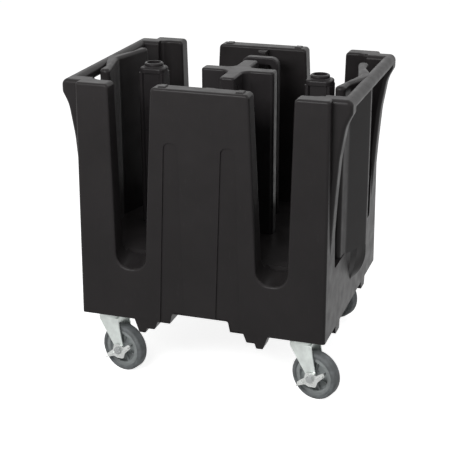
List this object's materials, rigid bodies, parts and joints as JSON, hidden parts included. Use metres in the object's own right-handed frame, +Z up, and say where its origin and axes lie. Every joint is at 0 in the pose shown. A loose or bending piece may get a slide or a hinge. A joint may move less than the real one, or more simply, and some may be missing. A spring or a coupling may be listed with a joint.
{
  "type": "plate dispenser cart",
  "caption": "Low wheeled plate caddy: moulded black body with open slotted plate bays, end handle bars, lift-out divider towers and swivel casters, two with brake levers.",
  "frame": {"origin": "on the floor under the middle of the body", "axes": "+Z up, +X along the front towards the right-hand handle, front faces -Y"},
  "size_m": [0.74, 0.599, 0.789],
  "materials": {
    "body_plastic": "fine-grained moulded polyethylene, satin",
    "tower_plastic": "fine-grained moulded polyethylene, satin",
    "zinc": "bright zinc plate",
    "bolt_steel": "zinc plate",
    "lever_steel": "pressed steel, zinc plate",
    "wheel_plastic": "moulded grey nylon",
    "tyre_rubber": "grey non-marking rubber",
    "bush_nylon": "natural nylon"
  },
  "bodies": {
    "cart": {"body_shell": "body_plastic", "front_right_plate": "zinc", "front_right_bolts": "bolt_steel", "front_right_kingpin": "bolt_steel", "front_right_race": "zinc", "front_right_ball_ring": "bolt_steel", "front_left_plate": "zinc", "front_left_bolts": "bolt_steel", "front_left_kingpin": "bolt_steel", "front_left_race": "zinc", "front_left_ball_ring": "bolt_steel", "rear_right_plate": "zinc", "rear_right_bolts": "bolt_steel", "rear_right_kingpin": "bolt_steel", "rear_right_race": "zinc", "rear_right_ball_ring": "bolt_steel", "rear_left_plate": "zinc", "rear_left_bolts": "bolt_steel", "rear_left_kingpin": "bolt_steel", "rear_left_race": "zinc", "rear_left_ball_ring": "bolt_steel"},
    "front_right_swivel": {"front_right_fork": "zinc", "front_right_spacers": "bolt_steel", "front_right_axle_bolt": "bolt_steel", "front_right_axle_nut": "bolt_steel", "front_right_brake_cam": "lever_steel"},
    "front_right_wheel": {"front_right_wheel_core": "wheel_plastic", "front_right_tyre": "tyre_rubber", "front_right_bush": "bush_nylon"},
    "front_right_lever": {"front_right_brake_lever": "lever_steel"},
    "front_left_swivel": {"front_left_fork": "zinc", "front_left_spacers": "bolt_steel", "front_left_axle_bolt": "bolt_steel", "front_left_axle_nut": "bolt_steel", "front_left_brake_cam": "lever_steel"},
    "front_left_wheel": {"front_left_wheel_core": "wheel_plastic", "front_left_tyre": "tyre_rubber", "front_left_bush": "bush_nylon"},
    "front_left_lever": {"front_left_brake_lever": "lever_steel"},
    "rear_right_swivel": {"rear_right_fork": "zinc", "rear_right_spacers": "bolt_steel", "rear_right_axle_bolt": "bolt_steel", "rear_right_axle_nut": "bolt_steel"},
    "rear_right_wheel": {"rear_right_wheel_core": "wheel_plastic", "rear_right_tyre": "tyre_rubber", "rear_right_bush": "bush_nylon"},
    "rear_left_swivel": {"rear_left_fork": "zinc", "rear_left_spacers": "bolt_steel", "rear_left_axle_bolt": "bolt_steel", "rear_left_axle_nut": "bolt_steel"},
    "rear_left_wheel": {"rear_left_wheel_core": "wheel_plastic", "rear_left_tyre": "tyre_rubber", "rear_left_bush": "bush_nylon"},
    "tower_right": {"tower_right": "tower_plastic"},
    "tower_left": {"tower_left": "tower_plastic"},
    "tower_centre": {"tower_centre": "tower_plastic"},
    "tower_arch": {"tower_arch": "tower_plastic"}
  },
  "joints": [
    {"name": "front_right_swivel_turn", "type": "hinge", "parent": "cart", "child": "front_right_swivel", "pos_m": [0.262, -0.238, 0.154], "axis": [0, 0, 1], "continuous": true},
    {"name": "front_right_wheel_roll", "type": "hinge", "parent": "front_right_swivel", "child": "front_right_wheel", "pos_m": [0.29468, -0.24737, 0.0635], "axis": [0.2756, 0.9613, 0], "continuous": true},
    {"name": "front_right_brake_turn", "type": "hinge", "parent": "front_right_swivel", "child": "front_right_lever", "pos_m": [0.29468, -0.24737, 0.0635], "axis": [0.2756, 0.9613, 0], "range_deg": [0, 35]},
    {"name": "front_left_swivel_turn", "type": "hinge", "parent": "cart", "child": "front_left_swivel", "pos_m": [-0.262, -0.238, 0.154], "axis": [0, 0, 1], "continuous": true},
    {"name": "front_left_wheel_roll", "type": "hinge", "parent": "front_left_swivel", "child": "front_left_wheel", "pos_m": [-0.22932, -0.24737, 0.0635], "axis": [0.2756, 0.9613, 0], "continuous": true},
    {"name": "front_left_brake_turn", "type": "hinge", "parent": "front_left_swivel", "child": "front_left_lever", "pos_m": [-0.22932, -0.24737, 0.0635], "axis": [0.2756, 0.9613, 0], "range_deg": [0, 35]},
    {"name": "rear_right_swivel_turn", "type": "hinge", "parent": "cart", "child": "rear_right_swivel", "pos_m": [0.262, 0.238, 0.154], "axis": [0, 0, 1], "continuous": true},
    {"name": "rear_right_wheel_roll", "type": "hinge", "parent": "rear_right_swivel", "child": "rear_right_wheel", "pos_m": [0.23048, 0.25074, 0.0635], "axis": [-0.3746, -0.9272, 0], "continuous": true},
    {"name": "rear_left_swivel_turn", "type": "hinge", "parent": "cart", "child": "rear_left_swivel", "pos_m": [-0.262, 0.238, 0.154], "axis": [0, 0, 1], "continuous": true},
    {"name": "rear_left_wheel_roll", "type": "hinge", "parent": "rear_left_swivel", "child": "rear_left_wheel", "pos_m": [-0.29352, 0.25074, 0.0635], "axis": [-0.3746, -0.9272, 0], "continuous": true},
    {"name": "tower_right_lift", "type": "slide", "parent": "cart", "child": "tower_right", "axis": [0, 0, 1], "range_m": [0, 0.5]},
    {"name": "tower_left_lift", "type": "slide", "parent": "cart", "child": "tower_left", "axis": [0, 0, 1], "range_m": [0, 0.5]},
    {"name": "tower_centre_lift", "type": "slide", "parent": "cart", "child": "tower_centre", "axis": [0, 0, 1], "range_m": [0, 0.5]},
    {"name": "tower_arch_lift", "type": "slide", "parent": "cart", "child": "tower_arch", "axis": [0, 0, 1], "range_m": [0, 0.5]}
  ]
}
